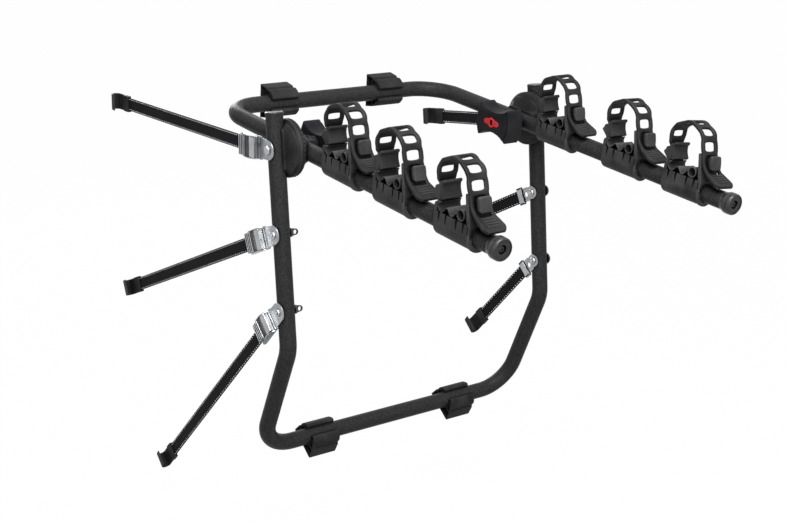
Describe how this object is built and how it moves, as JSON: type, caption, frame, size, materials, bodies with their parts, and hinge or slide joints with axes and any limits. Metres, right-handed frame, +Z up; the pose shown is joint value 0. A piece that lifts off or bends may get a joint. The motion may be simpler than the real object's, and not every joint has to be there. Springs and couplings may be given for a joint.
{
  "type": "trunk mounted bike rack",
  "caption": "Folding tube frame that straps onto the back of a car and carries bicycles by their top tubes in rubber strapped cradles on two arms.",
  "frame": {"origin": "middle of the lower cross tube's axis", "axes": "+X to the right seen from behind the car, +Y to the car, +Z up"},
  "size_m": [0.644, 1.0846, 0.7999],
  "materials": {
    "powder_coat": "satin",
    "black_cast": "matte",
    "black_plastic": "matte",
    "rubber": "matte",
    "zinc_bolt": "satin",
    "zinc_sheet": "satin",
    "red_plastic": "satin",
    "webbing": "woven",
    "coated_hook": "matte"
  },
  "bodies": {
    "lower_frame_body": {"lower_frame": "powder_coat", "upright_caps": "black_plastic", "hub_plate_left": "black_cast", "hub_plate_right": "black_cast", "hub_bolts": "zinc_bolt", "strap_bolts": "zinc_bolt", "eye_nuts": "black_plastic", "dome_nuts": "black_plastic"},
    "carrier_body": {"carrier_frame": "powder_coat", "arm_plate_left": "black_cast", "arm_plate_right": "black_cast", "saddle_washers": "black_plastic", "arm_caps": "black_plastic", "cap_screws": "zinc_bolt", "cushions": "rubber", "liners": "rubber", "cradle_left_1": "black_plastic", "cradle_left_2": "black_plastic", "cradle_left_3": "black_plastic", "cradle_right_1": "black_plastic", "cradle_right_2": "black_plastic", "cradle_right_3": "black_plastic"},
    "knob_left_body": {"knob_left": "black_plastic", "insert_left": "red_plastic"},
    "knob_right_body": {"knob_right": "black_plastic", "insert_right": "red_plastic"},
    "upper_pad_left_body": {"upper_pad_left": "rubber"},
    "upper_pad_right_body": {"upper_pad_right": "rubber"},
    "lower_pad_left_body": {"lower_pad_left": "rubber"},
    "lower_pad_right_body": {"lower_pad_right": "rubber"},
    "ladder_left_1_body": {"ladder_left_1": "rubber"},
    "ladder_left_2_body": {"ladder_left_2": "rubber"},
    "ladder_left_3_body": {"ladder_left_3": "rubber"},
    "ladder_right_1_body": {"ladder_right_1": "rubber"},
    "ladder_right_2_body": {"ladder_right_2": "rubber"},
    "ladder_right_3_body": {"ladder_right_3": "rubber"},
    "buckle_top_body": {"buckle_top": "zinc_sheet", "web_left_top": "webbing", "hook_left_top": "coated_hook"},
    "buckle_mid_body": {"buckle_mid": "zinc_sheet", "web_left_mid": "webbing", "hook_left_mid": "coated_hook"},
    "buckle_low_body": {"buckle_low": "zinc_sheet", "web_left_low": "webbing", "hook_left_low": "coated_hook"},
    "lever_top_body": {"lever_top": "zinc_sheet"},
    "lever_mid_body": {"lever_mid": "zinc_sheet"},
    "lever_low_body": {"lever_low": "zinc_sheet"},
    "plate_top_body": {"plate_top": "zinc_sheet", "web_right_top": "webbing", "hook_right_top": "coated_hook"},
    "plate_mid_body": {"plate_mid": "zinc_sheet", "web_right_mid": "webbing", "hook_right_mid": "coated_hook"},
    "plate_low_body": {"plate_low": "zinc_sheet", "web_right_low": "webbing", "hook_right_low": "coated_hook"}
  },
  "joints": [
    {"name": "carrier_tilt", "type": "hinge", "parent": "lower_frame_body", "child": "carrier_body", "pos_m": [0, -0.07513, 0.56038], "axis": [1, 0, 0], "range_deg": [-50, 60]},
    {"name": "knob_left_turn", "type": "hinge", "parent": "carrier_body", "child": "knob_left_body", "pos_m": [-0.2, -0.07513, 0.56038], "axis": [1, 0, 0], "continuous": true},
    {"name": "knob_right_turn", "type": "hinge", "parent": "carrier_body", "child": "knob_right_body", "pos_m": [0.2, -0.07513, 0.56038], "axis": [1, 0, 0], "continuous": true},
    {"name": "upper_pad_left_turn", "type": "hinge", "parent": "carrier_body", "child": "upper_pad_left_body", "pos_m": [-0.122, 0.17805, 0.59551], "axis": [1, 0, 0], "continuous": true},
    {"name": "upper_pad_right_turn", "type": "hinge", "parent": "carrier_body", "child": "upper_pad_right_body", "pos_m": [0.122, 0.17805, 0.59551], "axis": [1, 0, 0], "continuous": true},
    {"name": "lower_pad_left_turn", "type": "hinge", "parent": "lower_frame_body", "child": "lower_pad_left_body", "pos_m": [-0.163, 0, 0], "axis": [1, 0, 0], "continuous": true},
    {"name": "lower_pad_right_turn", "type": "hinge", "parent": "lower_frame_body", "child": "lower_pad_right_body", "pos_m": [0.163, 0, 0], "axis": [1, 0, 0], "continuous": true},
    {"name": "ladder_left_1_open", "type": "hinge", "parent": "carrier_body", "child": "ladder_left_1_body", "pos_m": [-0.247, -0.17835, 0.59855], "axis": [-1, 0, 0], "range_deg": [0, 80], "deforming": ["ladder_left_1"]},
    {"name": "ladder_left_2_open", "type": "hinge", "parent": "carrier_body", "child": "ladder_left_2_body", "pos_m": [-0.247, -0.319, 0.57903], "axis": [-1, 0, 0], "range_deg": [0, 80], "deforming": ["ladder_left_2"]},
    {"name": "ladder_left_3_open", "type": "hinge", "parent": "carrier_body", "child": "ladder_left_3_body", "pos_m": [-0.247, -0.47154, 0.55787], "axis": [-1, 0, 0], "range_deg": [0, 80], "deforming": ["ladder_left_3"]},
    {"name": "ladder_right_1_open", "type": "hinge", "parent": "carrier_body", "child": "ladder_right_1_body", "pos_m": [0.247, -0.15012, 0.60247], "axis": [-1, 0, 0], "range_deg": [0, 80], "deforming": ["ladder_right_1"]},
    {"name": "ladder_right_2_open", "type": "hinge", "parent": "carrier_body", "child": "ladder_right_2_body", "pos_m": [0.24972, -0.32023, 0.57879], "axis": [-0.9986, -0.0072, 0.0518], "range_deg": [0, 80], "deforming": ["ladder_right_2"]},
    {"name": "ladder_right_3_open", "type": "hinge", "parent": "carrier_body", "child": "ladder_right_3_body", "pos_m": [0.25244, -0.46259, 0.55882], "axis": [-0.9945, -0.0144, 0.1035], "range_deg": [0, 80], "deforming": ["ladder_right_3"]},
    {"name": "buckle_top_swing", "type": "hinge", "parent": "lower_frame_body", "child": "buckle_top_body", "pos_m": [-0.3066, -0.07513, 0.56038], "axis": [1, 0, 0], "range_deg": [-20, 25]},
    {"name": "buckle_mid_swing", "type": "hinge", "parent": "lower_frame_body", "child": "buckle_mid_body", "pos_m": [-0.3066, -0.08564, 0.41726], "axis": [1, 0, 0], "range_deg": [-15, 20]},
    {"name": "buckle_low_swing", "type": "hinge", "parent": "lower_frame_body", "child": "buckle_low_body", "pos_m": [-0.3066, -0.09545, 0.28362], "axis": [1, 0, 0], "range_deg": [-15, 20]},
    {"name": "lever_top_lift", "type": "hinge", "parent": "buckle_top_body", "child": "lever_top_body", "pos_m": [-0.3161, -0.02516, 0.56212], "axis": [0, -0.0349, 0.9994], "range_deg": [0, 60], "stiffness_Nm_per_rad": 0.12, "springref_deg": -8.59},
    {"name": "lever_mid_lift", "type": "hinge", "parent": "buckle_mid_body", "child": "lever_mid_body", "pos_m": [-0.3161, -0.03908, 0.39902], "axis": [0, 0.3649, 0.9311], "range_deg": [0, 60], "stiffness_Nm_per_rad": 0.12, "springref_deg": -8.59},
    {"name": "lever_low_lift", "type": "hinge", "parent": "buckle_low_body", "child": "lever_low_body", "pos_m": [-0.3161, -0.05918, 0.2492], "axis": [0, 0.6884, 0.7254], "range_deg": [0, 60], "stiffness_Nm_per_rad": 0.12, "springref_deg": -8.59},
    {"name": "plate_top_swing", "type": "hinge", "parent": "carrier_body", "child": "plate_top_body", "pos_m": [0.2259, -0.07513, 0.56038], "axis": [1, 0, 0], "range_deg": [-15, 2]},
    {"name": "plate_mid_swing", "type": "hinge", "parent": "lower_frame_body", "child": "plate_mid_body", "pos_m": [0.2764, -0.08564, 0.41726], "axis": [1, 0, 0], "range_deg": [-15, 15]},
    {"name": "plate_low_swing", "type": "hinge", "parent": "lower_frame_body", "child": "plate_low_body", "pos_m": [0.2764, -0.09545, 0.28362], "axis": [1, 0, 0], "range_deg": [-15, 15]}
  ]
}
